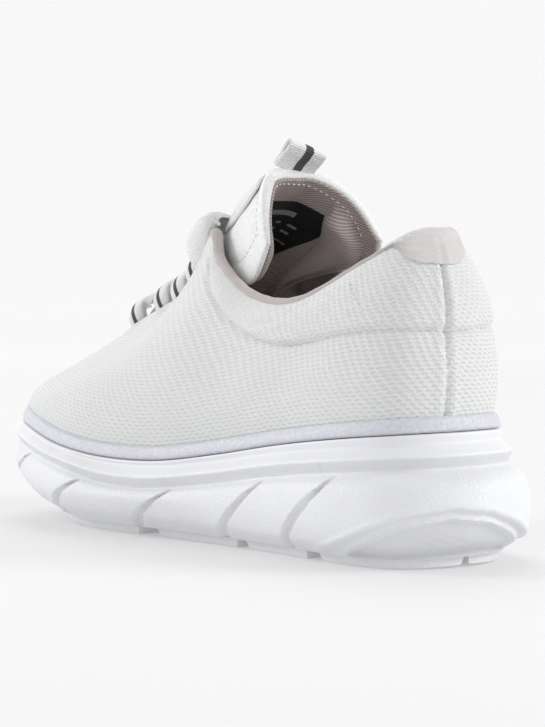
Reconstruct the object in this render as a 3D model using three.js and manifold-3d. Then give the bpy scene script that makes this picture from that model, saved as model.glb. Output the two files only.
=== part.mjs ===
// A left running shoe in millimetres: toe towards +X, outer side towards +Y, ground at z = 0.
import * as THREE from 'three';
import Module from 'manifold-3d';

const wasm = await Module();
wasm.setup();

// Half of the shoe is described by twelve stations, from the middle of the heel to the tip of the toe.
// footX, footOut, footIn, footZ: where the upper meets the sole, on the outer and the inner side.
// edgeX, edgeHalf, edgeZ: the upper's top edge, which runs on into the lacing gap.
// out, rise, backX, backY, backZ: the two handles of the curve from the sole up to that edge.
// flare, tuck: how far the sole stands out at its fullest and at its lower edge.
const KEYS = ['footX', 'footOut', 'footIn', 'footZ', 'edgeX', 'edgeHalf', 'edgeZ',
  'out', 'rise', 'backX', 'backY', 'backZ', 'flare', 'tuck'];
const HALF_STATIONS = [
  [-112, 0, 0, 50.0, -103, 0, 110, 5, 24, -5, 0, -24, 16, 8],
  [-105, 21, -21, 49.4, -98, 10, 109, 5, 22, -4, 9, -22, 13, 7],
  [-84, 30, -30, 47.0, -85, 20, 100, 5, 20, 0, 9, -20, 10, 4],
  [-54, 31, -30, 42.8, -60, 28, 87, 5, 16, 0, 4, -15, 8.5, 3],
  [-24, 33, -28, 37.6, -36, 29, 88, 6, 16, 2, 5, -16, 8, 2],
  [6, 38, -30, 33.3, -14, 26, 99, 6, 20, 4, 12, -22, 8, 0],
  [32, 43, -34, 33.0, 0, 20, 109.5, 5, 22, 1, 8, -27, 8, -1],
  [56, 45, -39, 35.5, 19, 15.5, 90.5, 4, 20, 4, 8, -20, 7.5, -2],
  [80, 41, -42, 39.5, 41.5, 13.6, 81.5, 3, 13, 8.5, 10, -17, 6.5, -3],
  [100, 32, -41, 42.0, 63, 11, 74.5, 3, 9, 13, 8.5, -14, 5.5, -5],
  [114, 17, -34, 44.0, 70, 5.5, 71.2, 3, 7.5, 17, 5, -12, 5, -6],
  [121, -7, -7, 45.0, 72, 0, 70.5, 3, 7.5, 19, 0, -11, 5, -7],
];
const TOE = HALF_STATIONS.length - 1;
const AROUND = 2 * TOE;
const STEPS = 2;
const COLUMNS = AROUND * STEPS;
const ROWS = [-1, 0, 0.15, 0.3, 0.45, 0.58, 0.7, 0.82, 0.91, 1];

const SKIN = 1.6;
const GAP = 0.3;
const LINING = 0.9;
const COUNTER = 1.2;
const SOLE_GAP = 0.3;
const TREAD = 3;

const up = new THREE.Vector3(0, 0, 1);
const vec = (x, y, z) => new THREE.Vector3(x, y, z);
const clamp = (x, low, high) => Math.min(Math.max(x, low), high);
const smooth = (x, a, b) => THREE.MathUtils.smoothstep(x, a, b);

// The last bends inwards, so the middle line of the upper drifts to the inner side at the toe.
const middleY = (x) => -5.5 * Math.pow(clamp((x + 20) / 140, 0, 1), 1.5);

function stationKeys(index) {
  const wrapped = ((index % AROUND) + AROUND) % AROUND;
  const side = wrapped <= TOE ? 1 : -1;
  const row = HALF_STATIONS[wrapped <= TOE ? wrapped : AROUND - wrapped];
  const key = Object.fromEntries(KEYS.map((name, i) => [name, row[i]]));
  return [key.footX, side > 0 ? key.footOut : key.footIn, key.footZ,
    key.edgeX, side * key.edgeHalf + middleY(key.edgeX), key.edgeZ,
    key.out, key.rise, key.backX, side * key.backY, key.backZ, key.flare, key.tuck];
}

function blendKeys(u) {
  const base = Math.floor(u);
  const f = u - base;
  const [a, b, c, d] = [-1, 0, 1, 2].map((k) => stationKeys(base + k));
  return b.map((_, i) => 0.5 * (2 * b[i] + (c[i] - a[i]) * f
    + (2 * a[i] - 5 * b[i] + 4 * c[i] - d[i]) * f * f
    + (3 * b[i] - a[i] - 3 * c[i] + d[i]) * f * f * f));
}

function outward(u) {
  const before = blendKeys(u - 0.05);
  const after = blendKeys(u + 0.05);
  return vec(before[1] - after[1], after[0] - before[0], 0).normalize();
}

function station(u) {
  const k = blendKeys(u);
  return {
    foot: vec(k[0], k[1], k[2]), edge: vec(k[3], k[4], k[5]), out: k[6], rise: k[7],
    back: vec(k[8], k[9], k[10]), flare: k[11], tuck: k[12], outward: outward(u),
  };
}

// Heights of the foxing band, the lip, the ridge and the waist below the foot line: deeper at the heel.
const heelness = (x) => clamp((20 - x) / 120, 0, 1);
const bandDepth = (x) => 4.6 + 0.4 * heelness(x);

function skinPoint(u, v) {
  const s = station(u);
  if (v < 0) return s.foot.clone().addScaledVector(up, v * bandDepth(s.foot.x));
  const p1 = s.foot.clone().addScaledVector(s.outward, s.out).addScaledVector(up, s.rise);
  const curve = new THREE.CubicBezierCurve3(s.foot, p1, s.edge.clone().add(s.back), s.edge);
  return curve.getPoint(v);
}

function skinNormal(u, v) {
  if (v < 0) return outward(u);
  const across = skinPoint(u + 0.04, v).sub(skinPoint(u - 0.04, v));
  const along = skinPoint(u, Math.min(v + 0.02, 1)).sub(skinPoint(u, Math.max(v - 0.02, 0)));
  return along.cross(across).normalize();
}

// A point of the upper at some depth under its outer face.
const skin = (u, v, depth) => skinPoint(u, v).addScaledVector(skinNormal(u, v), -depth);

// ---- closed bodies -------------------------------------------------------------------------

function body(points, triangles) {
  const volume = triangles.reduce((sum, [a, b, c]) =>
    sum + points[a].dot(points[b].clone().cross(points[c])), 0);
  const faces = volume > 0 ? triangles : triangles.map(([a, b, c]) => [a, c, b]);
  const geometry = new THREE.BufferGeometry();
  geometry.setAttribute('position',
    new THREE.Float32BufferAttribute(points.flatMap((p) => [p.x, p.y, p.z]), 3));
  geometry.setIndex(faces.flat());
  geometry.computeVertexNormals();
  return geometry;
}

function quad(list, a, b, c, d) {
  list.push([a, b, c], [a, c, d]);
}

// Two sheets of points with the same layout, closed along their edges into one body.
function sheetBody(front, back, wrap = false) {
  const n = front.length;
  const m = front[0].length;
  const points = [...front.flat(), ...back.flat()];
  const at = (sheet, i, j) => sheet * n * m + (i % n) * m + j;
  const triangles = [];
  const spans = wrap ? n : n - 1;
  for (let i = 0; i < spans; i += 1) {
    for (let j = 0; j < m - 1; j += 1) {
      quad(triangles, at(0, i, j), at(0, i + 1, j), at(0, i + 1, j + 1), at(0, i, j + 1));
      quad(triangles, at(1, i, j + 1), at(1, i + 1, j + 1), at(1, i + 1, j), at(1, i, j));
    }
    quad(triangles, at(0, i, 0), at(1, i, 0), at(1, i + 1, 0), at(0, i + 1, 0));
    quad(triangles, at(0, i + 1, m - 1), at(1, i + 1, m - 1), at(1, i, m - 1), at(0, i, m - 1));
  }
  for (let j = 0; j < m - 1 && !wrap; j += 1) {
    quad(triangles, at(0, 0, j), at(0, 0, j + 1), at(1, 0, j + 1), at(1, 0, j));
    quad(triangles, at(1, n - 1, j), at(1, n - 1, j + 1), at(0, n - 1, j + 1), at(0, n - 1, j));
  }
  return body(points, triangles);
}

// Rings one below the other, each running round the shoe from the heel; closed straight across.
function ringBody(rings) {
  const n = rings[0].length;
  const triangles = [];
  const at = (k, i) => k * n + ((i + n) % n);
  for (let k = 0; k < rings.length - 1; k += 1) {
    for (let i = 0; i < n; i += 1) quad(triangles, at(k, i), at(k, i + 1), at(k + 1, i + 1), at(k + 1, i));
  }
  const last = rings.length - 1;
  triangles.push([at(0, 0), at(0, -1), at(0, 1)], [at(last, 0), at(last, 1), at(last, -1)]);
  for (let i = 1; i < n / 2 - 1; i += 1) {
    quad(triangles, at(0, i), at(0, -i), at(0, -i - 1), at(0, i + 1));
    quad(triangles, at(last, i), at(last, i + 1), at(last, -i - 1), at(last, -i));
  }
  const end = n / 2;
  triangles.push([at(0, end - 1), at(0, end + 1), at(0, end)]);
  triangles.push([at(last, end - 1), at(last, end), at(last, end + 1)]);
  return body(rings.flat(), triangles);
}

// A convex outline carried along a row of places.
function sweepBody(outlines) {
  const m = outlines[0].length;
  const triangles = [];
  const at = (i, j) => i * m + (j % m);
  const last = outlines.length - 1;
  for (let i = 0; i < last; i += 1) {
    for (let j = 0; j < m; j += 1) quad(triangles, at(i, j), at(i + 1, j), at(i + 1, j + 1), at(i, j + 1));
  }
  for (let j = 1; j < m - 1; j += 1) {
    triangles.push([at(0, 0), at(0, j), at(0, j + 1)], [at(last, 0), at(last, j + 1), at(last, j)]);
  }
  return body(outlines.flat(), triangles);
}

function toSolid(geometry) {
  return new wasm.Manifold(new wasm.Mesh({
    numProp: 3,
    vertProperties: new Float32Array(geometry.attributes.position.array),
    triVerts: new Uint32Array(geometry.index.array),
  }));
}

function joined(geometries) {
  const mesh = geometries.map(toSolid).reduce((a, b) => a.add(b)).getMesh();
  const geometry = new THREE.BufferGeometry();
  geometry.setAttribute('position', new THREE.Float32BufferAttribute(mesh.vertProperties, 3));
  geometry.setIndex(Array.from(mesh.triVerts));
  geometry.computeVertexNormals();
  return geometry;
}

// ---- sole ----------------------------------------------------------------------------------

// The ground line lifts towards the toe, and a little behind the heel.
function rocker(x) {
  return 0.0035 * Math.pow(Math.max(x - 45, 0), 2) + 0.004 * Math.pow(Math.max(-100 - x, 0), 2);
}

function ring(offsetOf, heightOf) {
  return Array.from({ length: COLUMNS }, (_, i) => {
    const s = station(i / STEPS);
    const p = s.foot.clone().addScaledVector(s.outward, offsetOf(s));
    p.z = heightOf(s, p.x);
    return p;
  });
}

function midsole() {
  const ridge = (s) => 5.3 + 0.12 * s.flare;
  const below = (front, heel) => (s) => s.foot.z - front - (heel - front) * heelness(s.foot.x);
  const bottom = (rise) => (s, x) => TREAD + SOLE_GAP + rocker(x) + rise;
  const top = (s) => s.foot.z - bandDepth(s.foot.x) - SOLE_GAP;
  return ringBody([
    ring(() => 2.3, top),
    ring(() => 3, (s) => top(s) - 0.7),
    ring(() => 3, below(5.6, 7)),
    ring(ridge, below(8.3, 12)),
    ring((s) => ridge(s) - 2, below(11.7, 16.6)),
    ring((s) => s.flare, bottom(11)),
    ring((s) => (s.flare + s.tuck) / 2 + 1, bottom(5.5)),
    ring((s) => s.tuck, bottom(2)),
    ring((s) => s.tuck - 3, bottom(0)),
  ]);
}

// One rubber pad of the tread: from its outline on one side to the groove or to the other outline.
function pad(from, to, side) {
  const inset = 4.5;
  const count = Math.round((to - from) * STEPS);
  const rim = (u) => {
    const s = station(u);
    return s.foot.clone().addScaledVector(s.outward, s.tuck - inset);
  };
  const line = (u, height) => {
    const a = rim(side < 0 ? -u : u);
    const b = side === 0 ? rim(-u) : vec(a.x, middleY(a.x) + side, 0);
    return [0, 0.5, 1].map((t) => {
      const p = a.clone().lerp(b, t);
      p.z = rocker(p.x) + height;
      return p;
    });
  };
  const places = Array.from({ length: count + 1 }, (_, i) => from + i * (to - from) / count);
  return sheetBody(places.map((u) => line(u, 0)), places.map((u) => line(u, TREAD)));
}

function foxing() {
  const height = (share) => (s) => s.foot.z - bandDepth(s.foot.x) * share;
  const outer = [ring(() => 1.3, height(0)), ring(() => 2.2, height(0.5)), ring(() => 2.5, height(1))];
  const inner = [ring(() => GAP, height(0)), ring(() => GAP, height(0.5)), ring(() => GAP, height(1))];
  const columns = (rings) => rings[0].map((_, i) => rings.map((r) => r[i]));
  return sheetBody(columns(outer), columns(inner), true);
}

// ---- layers of the upper -------------------------------------------------------------------

const fromHeel = (u) => Math.min(((u % AROUND) + AROUND) % AROUND, AROUND - ((u % AROUND) + AROUND) % AROUND);

function filling(u, v) {
  const k = fromHeel(u);
  const t = clamp((v - 0.5) / 0.5, 0, 1);
  const foam = (1 + 5 * (1 - smooth(k, 3.5, 6))) * Math.pow(Math.sin(Math.PI * t), 0.8);
  const stiff = COUNTER * (1 - smooth(v, 0.45, 0.58));
  return Math.max(0.4, foam, stiff);
}
const liningDepth = (u, v) => SKIN + 2 * GAP + filling(u, v);

function layer(from, to, rows, outerDepth, innerDepth, wrap = false) {
  const count = wrap ? COLUMNS : Math.round((to - from) * STEPS) + 1;
  const sheet = (depth) => Array.from({ length: count }, (_, i) => {
    const u = from + i / STEPS;
    return rows.map((v) => skin(u, v, depth(u, v)));
  });
  return sheetBody(sheet(outerDepth), sheet(innerDepth), wrap);
}

const rowsBetween = (low, high) => ROWS.filter((v) => v >= low && v <= high);
const underSkin = () => SKIN + 1.5 * GAP;
const underFacing = () => SKIN + 1.5 * GAP + 0.9;
const aboveLining = (u, v) => liningDepth(u, v) - 2 * GAP;
const insideLining = (u, v) => liningDepth(u, v) + LINING;

const FRONT = 6;
const THROAT = 6.5;

function plate(low, high) {
  const inset = (s, u) => -(insideLining(u, -1) + 0.4);
  const loop = (extra, height) => Array.from({ length: COLUMNS }, (_, i) => {
    const u = i / STEPS;
    const s = station(u);
    const p = s.foot.clone().addScaledVector(s.outward, inset(s, u) - extra);
    p.z = s.foot.z - bandDepth(s.foot.x) + height;
    return p;
  });
  return ringBody([loop(0, high), loop(0, low)]);
}

// The rolled edge of the collar sits on the upper and the lining.
function binding(side) {
  const thick = SKIN + 2 * GAP + 0.4 + LINING;
  const outline = [[-0.5, 0.5], [-0.5, 1.3], [0.6, 2.1], [thick - 0.6, 2.1], [thick + 0.5, 1.3], [thick + 0.5, 0.5]];
  const places = Array.from({ length: 9 }, (_, i) => 2 + i / STEPS);
  return sweepBody(places.map((place) => {
    const u = side * place;
    const normal = skinNormal(u, 1);
    const edge = skinPoint(u, 1);
    const tangent = edge.clone().sub(skinPoint(u, 0.96)).normalize();
    return outline.map(([a, b]) => edge.clone().addScaledVector(normal, -a).addScaledVector(tangent, b));
  }));
}

// The heel patch folds over the top of the collar; its lower edge is a shallow V.
function heelPatch() {
  const low = (u) => 0.83 + 0.02 * Math.abs(u);
  const sheet = (out) => Array.from({ length: 9 }, (_, i) => {
    const u = 0.47 * (i - 4);
    const edge = skinPoint(u, 1);
    const normal = skinNormal(u, 1);
    const tangent = edge.clone().sub(skinPoint(u, 0.96)).normalize();
    const outer = [0, 0.35, 0.7, 1].map((t) => skin(u, low(u) + (1 - low(u)) * t, -0.4 - out));
    const over = (a, b) => edge.clone().addScaledVector(normal, -a).addScaledVector(tangent, b);
    const back = insideLining(u, 1) + 2 * GAP + out;
    const inner = [0.96, 0.9].map((v) => skin(u, v, insideLining(u, v) + 2 * GAP + out));
    return [...outer, over(0.3 - out, 0.5 + out), over(back - 0.6, 0.5 + out), over(back, 0), ...inner];
  });
  return sheetBody(sheet(0.7), sheet(0));
}

// A smooth rounded piece over the quarter's front corner.
function lobe(side) {
  const sheet = (out) => Array.from({ length: 4 }, (_, i) => {
    const u = side * (5.5 + i / STEPS);
    return [0.82, 0.91, 1].map((v) => skin(u, v, -out));
  });
  return sheetBody(sheet(1.3), sheet(0.35));
}

// ---- tongue --------------------------------------------------------------------------------

const WING_DEPTH = 5.8;
const SHOULDER = 5;
// u, then the middle of each lacing row: it stands proud of the edges on both sides.
const LACED_ROWS = [
  { u: 8.87, x: 61.2, z: 79.6 }, { u: 8.05, x: 43.2, z: 89.6 },
  { u: 7.36, x: 31, z: 96.8 }, { u: 6.65, x: 19, z: 103.6 },
];
// Free rows, as the middle and four places to each side: x, half width, z.
const FRONT_ROWS = [
  [[81, 0, 62.6], [81, 3, 62.4], [81, 6, 61.9], [81, 9.5, 60.9], [81, 13, 59.2]],
  [[70, 0, 66.6], [70, 3, 66.4], [70, 6, 65.8], [71, 10, 64.4], [72, 14, 62.2]],
];
const TOP_ROWS = [
  [[6, 0, 111.5], [5, 7, 110.8], [2, 12.5, 107.5], [-3, 16, 100], [-6, 18.5, 92]],
  [[-8, 0, 121.5], [-9, 9, 120.5], [-14, 16, 115.5], [-20, 20, 105], [-25, 20.5, 92]],
  [[-23, 0, 133], [-23.5, 8, 132.5], [-26, 14, 129.5], [-31, 19.5, 119], [-36, 22, 106]],
];

const mirrored = (row) => [...row.slice(1).reverse().map(([x, y, z]) => [x, -y, z]), ...row];

function lacedRow({ u, x, z }) {
  const half = Math.abs(station(u).edge.y - middleY(station(u).edge.x));
  const wing = (side, v, extra = 0) => skin(side * u, v, WING_DEPTH + extra);
  const free = [[x - 1, 1 - SHOULDER / half, z - 4], [x - 0.4, 0.42, z - 0.7]];
  const place = (side) => ([px, share, pz]) => vec(px, middleY(x) + side * share * half, pz);
  return [wing(-1, 0.86), wing(-1, 0.98, 1.2), ...free.map(place(-1)), vec(x, middleY(x), z),
    ...free.reverse().map(place(1)), wing(1, 0.98, 1.2), wing(1, 0.86)];
}

const freeRow = (row) => mirrored(row).map(([x, y, z]) => vec(x, y + middleY(x), z));
const TONGUE = [...FRONT_ROWS.map(freeRow), ...LACED_ROWS.map(lacedRow), ...TOP_ROWS.map(freeRow)];

function through(list, t) {
  const base = clamp(Math.floor(t), 0, list.length - 2);
  const f = t - base;
  const at = (i) => list[clamp(i, 0, list.length - 1)];
  const [a, b, c, d] = [-1, 0, 1, 2].map((k) => at(base + k));
  const mix = (axis) => 0.5 * (2 * b[axis] + (c[axis] - a[axis]) * f
    + (2 * a[axis] - 5 * b[axis] + 4 * c[axis] - d[axis]) * f * f
    + (3 * b[axis] - a[axis] - 3 * c[axis] + d[axis]) * f * f * f);
  return vec(mix('x'), mix('y'), mix('z'));
}

const tonguePoint = (r, w) => through(TONGUE.map((row) => through(row, w)), r);

function tongueNormal(r, w) {
  const step = 0.1;
  const along = tonguePoint(Math.min(r + step, 8), w).sub(tonguePoint(Math.max(r - step, 0), w));
  const across = tonguePoint(r, Math.min(w + step, 8)).sub(tonguePoint(r, Math.max(w - step, 0)));
  return across.cross(along).normalize();
}

const tongueSkin = (r, w, depth) => tonguePoint(r, w).addScaledVector(tongueNormal(r, w), -depth);
const steps = (low, high, count) => Array.from({ length: count + 1 }, (_, i) => low + (high - low) * i / count);

function tonguePiece(rows, columns, outer, inner) {
  const sheet = (depth) => rows.map((r) => columns.map((w) => tongueSkin(r, w, depth(r, w))));
  return sheetBody(sheet(outer), sheet(inner));
}

const TONGUE_ROWS = steps(0, 8, 16);
const TONGUE_COLUMNS = steps(0, 8, 16);
// The padding thins towards the sides, and under the lace.
const tongueThick = (r, w) => 1.6 + (1 + 1.6 * smooth(r, 5, 7)) * (1 - Math.pow(Math.abs(w - 4) / 4, 2));
const inTongue = (extra) => (r, w) => tongueThick(r, w) + extra;

// ---- lace and pull loop --------------------------------------------------------------------

const LACE_THICK = 1.2;
const LACE_WIDTH = 9.5;

function laceSpan(r) {
  const length = tonguePoint(r + 0.5, 4).distanceTo(tonguePoint(r - 0.5, 4));
  return LACE_WIDTH / length / 2;
}

function lacePiece(lowRow, highRow, lowColumn, highColumn) {
  const rows = [lowRow, ...TONGUE_ROWS.filter((r) => r > lowRow && r < highRow), highRow];
  const columns = TONGUE_COLUMNS.filter((w) => w >= lowColumn && w <= highColumn);
  return tonguePiece(rows, columns, () => -0.6 - LACE_THICK, () => -0.6);
}

// One flat lace, straight across at each bar and up to the next bar under alternate edges.
function lace() {
  const bars = [2, 3, 4, 5];
  const across = bars.map((r) => lacePiece(r - laceSpan(r), r + laceSpan(r), 0.5, 7.5));
  const links = bars.slice(0, 3).map((r, i) => {
    const column = i % 2 === 0 ? 0.5 : 7;
    return lacePiece(r - laceSpan(r), r + 1 + laceSpan(r + 1), column, column + 0.5);
  });
  return joined([...across, ...links]);
}

// A folded strip of webbing that stands on the tongue's top edge and leans back.
function pullLoop() {
  const halfWidth = 8;
  const base = vec(-25.5, 0, 134.6);
  const lean = vec(-0.62, 0, 0.78);
  const side = vec(0.78, 0, 0.62);
  const height = 11;
  const outline = (half, foot, top) => {
    const arc = steps(0, Math.PI, 6).map((a) => [half * Math.cos(a), top - half + half * Math.sin(a)]);
    return [[half, foot], ...arc, [-half, foot]];
  };
  const place = (y) => ([a, b]) => base.clone().addScaledVector(side, a).addScaledVector(lean, b).add(vec(0, y, 0));
  const sheet = (half, top) => [-halfWidth, halfWidth].map((y) => outline(half, 0, top).map(place(y)));
  return sheetBody(sheet(2.9, height), sheet(1.7, height - 1.2));
}

// ---- materials and assembly ----------------------------------------------------------------

const finish = (color, roughness) => new THREE.MeshStandardMaterial({ color, roughness, metalness: 0 });
const materials = {
  mesh: finish(0xebeff0, 0.9),
  lining: finish(0xb8aba8, 0.92),
  binding: finish(0xdbd4d3, 0.85),
  facing: finish(0xf2f0f5, 0.55),
  foam: finish(0xd9d6cf, 0.95),
  board: finish(0xe6e2da, 0.9),
  sole: finish(0xf0f1f4, 0.55),
  tread: finish(0xeeeff2, 0.6),
  foxing: finish(0xd4d4db, 0.6),
  webbing: finish(0xefefef, 0.8),
  label: finish(0x1a1a1c, 0.6),
};

// The stations are measured from the middle of the last; the part's origin is the middle of its footprint.
const shoe = new THREE.Group();
const onLast = new THREE.Group();
onLast.position.set(0.6, -2, 0);
shoe.add(onLast);

function add(name, geometry, material) {
  const mesh = new THREE.Mesh(geometry, materials[material]);
  mesh.name = name;
  onLast.add(mesh);
}

add('midsole', midsole(), 'sole');
add('tread_heel_outer', pad(0.12, 2.35, 1), 'tread');
add('tread_heel_inner', pad(0.12, 2.35, -1), 'tread');
add('tread_waist_outer', pad(2.55, 3.65, 1), 'tread');
add('tread_waist_inner', pad(2.55, 3.65, -1), 'tread');
add('tread_middle_outer', pad(3.8, 5.2, 1), 'tread');
add('tread_middle_inner', pad(3.8, 5.2, -1), 'tread');
add('tread_ball_outer', pad(5.55, 7.6, 1), 'tread');
add('tread_ball_inner', pad(5.55, 7.6, -1), 'tread');
add('tread_toe', pad(7.85, 10.2, 0), 'tread');
add('foxing_band', foxing(), 'foxing');
add('strobel_board', plate(0, 1.2), 'board');
add('sockliner', plate(1.5, 5.2), 'foam');

add('upper', layer(0, AROUND, ROWS, () => 0, () => SKIN, true), 'mesh');
add('heel_counter', layer(-4, 4, rowsBetween(-1, 0.45), underSkin, aboveLining), 'board');
add('toe_puff', layer(8, 14, rowsBetween(-1, 0.3), underSkin, aboveLining), 'board');
add('collar_foam', layer(-5, 5, rowsBetween(0.58, 0.91), underSkin, aboveLining), 'foam');
add('quarter_lining', layer(-FRONT, FRONT, ROWS, liningDepth, insideLining), 'lining');
add('vamp_lining', layer(THROAT, AROUND - THROAT, rowsBetween(-1, 0.7),
  liningDepth, insideLining), 'lining');
add('eyestay_outer', layer(7, 10, rowsBetween(0.82, 1), underSkin, underFacing), 'facing');
add('eyestay_inner', layer(AROUND - 10, AROUND - 7, rowsBetween(0.82, 1), underSkin, underFacing), 'facing');
add('corner_patch_outer', lobe(1), 'facing');
add('corner_patch_inner', lobe(-1), 'facing');
add('collar_binding_outer', binding(1), 'binding');
add('collar_binding_inner', binding(-1), 'binding');
add('heel_patch', heelPatch(), 'binding');

add('tongue', tonguePiece(TONGUE_ROWS, TONGUE_COLUMNS, () => 0, tongueThick), 'mesh');
add('tongue_lining', tonguePiece(TONGUE_ROWS, TONGUE_COLUMNS, inTongue(0.85), inTongue(1.4)), 'lining');
add('tongue_label', tonguePiece(steps(6.5, 7.5, 2), steps(2, 6, 8), inTongue(1.6), inTongue(2)),
  'label');
add('tongue_patch', tonguePiece(steps(6.5, 7.5, 2), steps(3, 5, 4), () => -1.2, () => -0.35), 'facing');
add('pull_loop', pullLoop(), 'webbing');
add('lace', lace(), 'webbing');

export default shoe;
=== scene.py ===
"""A left running shoe: the looks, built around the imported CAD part.

Shapes are worked out in millimetres on the same stations as the CAD, with the toe towards +X and the
outer side towards +Y, and turned into metres when a mesh is made.
"""

import math

import bpy
import numpy as np
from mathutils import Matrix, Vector


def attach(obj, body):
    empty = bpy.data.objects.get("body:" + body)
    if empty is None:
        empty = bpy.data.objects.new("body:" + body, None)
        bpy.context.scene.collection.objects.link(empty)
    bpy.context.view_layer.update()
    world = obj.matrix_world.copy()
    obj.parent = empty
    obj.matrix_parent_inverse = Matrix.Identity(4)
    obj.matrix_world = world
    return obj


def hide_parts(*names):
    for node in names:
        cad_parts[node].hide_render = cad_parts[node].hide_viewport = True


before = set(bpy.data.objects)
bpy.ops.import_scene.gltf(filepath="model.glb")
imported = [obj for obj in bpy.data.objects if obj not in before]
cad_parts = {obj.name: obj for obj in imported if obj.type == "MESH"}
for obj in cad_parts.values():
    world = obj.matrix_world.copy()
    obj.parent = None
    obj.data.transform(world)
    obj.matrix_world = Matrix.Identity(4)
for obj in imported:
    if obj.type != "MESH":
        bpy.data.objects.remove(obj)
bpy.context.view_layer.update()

MM = 0.001
PLACE = np.array([0.6, -2.0, 0.0])  # from the middle of the last to the middle of the footprint
UP = np.array([0.0, 0.0, 1.0])

# ---- camera, light and floor ---------------------------------------------------------------

LOOK_AT = Vector((-10.4, -2.0, 62.5)) * MM
CAMERA_DISTANCE = 950 * MM
CAMERA_AZIMUTH = math.radians(232)
CAMERA_HEIGHT = math.radians(3.4)
LENS = 130.7


def add_camera():
    data = bpy.data.cameras.new("camera")
    camera = bpy.data.objects.new("camera", data)
    bpy.context.scene.collection.objects.link(camera)
    level = math.cos(CAMERA_HEIGHT)
    back = Vector((math.sin(CAMERA_AZIMUTH) * level, -math.cos(CAMERA_AZIMUTH) * level,
                   math.sin(CAMERA_HEIGHT)))
    camera.location = LOOK_AT + back * CAMERA_DISTANCE
    camera.rotation_euler = (-back).to_track_quat("-Z", "Y").to_euler()
    data.lens = LENS
    data.clip_start = 0.01
    data.clip_end = 20
    bpy.context.scene.camera = camera


WORLD_STRENGTH = 0.54
# Each square lamp's name, place and width in metres, and power in watts; all point at the shoe.
SOFTBOXES = [
    ("key_light", (-1.3, -1.3, 0.9), 0.9, 17),
    ("top_light", (0.7, -0.5, 1.3), 0.9, 7),
    ("front_light", (1.3, 1.1, 0.9), 0.7, 12),
]


def add_softbox(name, place, width, watts):
    data = bpy.data.lights.new(name, "AREA")
    data.shape = "RECTANGLE"
    data.size = width
    data.size_y = width
    data.energy = watts
    light = bpy.data.objects.new(name, data)
    bpy.context.scene.collection.objects.link(light)
    light.location = place
    light.rotation_euler = (LOOK_AT - Vector(place)).to_track_quat("-Z", "Y").to_euler()


def add_studio():
    world = bpy.data.worlds.new("studio")
    world.use_nodes = True
    background = world.node_tree.nodes["Background"]
    background.inputs["Color"].default_value = (1, 1, 1, 1)
    background.inputs["Strength"].default_value = WORLD_STRENGTH
    bpy.context.scene.world = world
    for softbox in SOFTBOXES:
        add_softbox(*softbox)
    bpy.context.scene.view_settings.view_transform = "Standard"


FLOOR_REACH = 2.2
FLOOR_CURVE = 1.2
FLOOR_END = FLOOR_REACH + FLOOR_CURVE
WALL_TOP = 3.0
# The paper glows a little, more so far away and less where the top light falls, so that it looks even.
GLOW_REACH = (0.85, 2.3)
GLOW = (0.3, 0.48)
LAMP_FOOT = (0.42, -0.33, 0.0)
LAMP_REACH = (0.2, 0.75)
LAMP_DIP = (-0.07, 0.0)


def add_floor():
    """A pale floor that curves up into a round wall, so that no line shows behind the shoe."""
    turn = np.linspace(0, np.pi / 2, 17)
    reach = np.concatenate([[0.01, 0.6, 1.4], FLOOR_REACH + FLOOR_CURVE * np.sin(turn), [FLOOR_END]])
    height = np.concatenate([[0, 0, 0], FLOOR_CURVE * (1 - np.cos(turn)), [WALL_TOP]])
    angle = np.linspace(0, 2 * np.pi, 97)[:-1]
    points = np.stack([np.cos(angle)[:, None] * reach, np.sin(angle)[:, None] * reach,
                       np.ones(len(angle))[:, None] * height], -1)
    n, m = points.shape[:2]
    faces = (grid_quads(n + 1, m)[:, ::-1] % (n * m)).tolist()
    faces.append([k * m for k in range(n)])
    mesh = bpy.data.meshes.new("floor")
    mesh.from_pydata(points.reshape(-1, 3).tolist(), [], faces)
    mesh.shade_smooth()
    floor = bpy.data.objects.new("floor", mesh)
    bpy.context.scene.collection.objects.link(floor)
    paper = Surface("floor_paper", (0.76, 0.76, 0.76), roughness=0.95, specular=0.05)
    place = paper.node("TexCoord", {}, output=3)
    away = paper.node("VectorMath", {0: place}, output=1, operation="LENGTH")
    under_lamp = paper.node("VectorMath", {0: place, 1: LAMP_FOOT}, output=1, operation="DISTANCE")
    glow = paper.add(paper.fade(away, *GLOW_REACH, *GLOW), paper.fade(under_lamp, *LAMP_REACH, *LAMP_DIP))
    paper.shader.inputs["Emission Color"].default_value = (1, 1, 1, 1)
    paper.tree.links.new(glow, paper.shader.inputs["Emission Strength"])
    floor.data.materials.append(paper.material)


# ---- materials -----------------------------------------------------------------------------

def linear(colour):
    """A colour as seen on a screen, as the light it stands for."""
    return tuple(c / 12.92 if c <= 0.04045 else ((c + 0.055) / 1.055) ** 2.4 for c in colour) + (1.0,)


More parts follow.
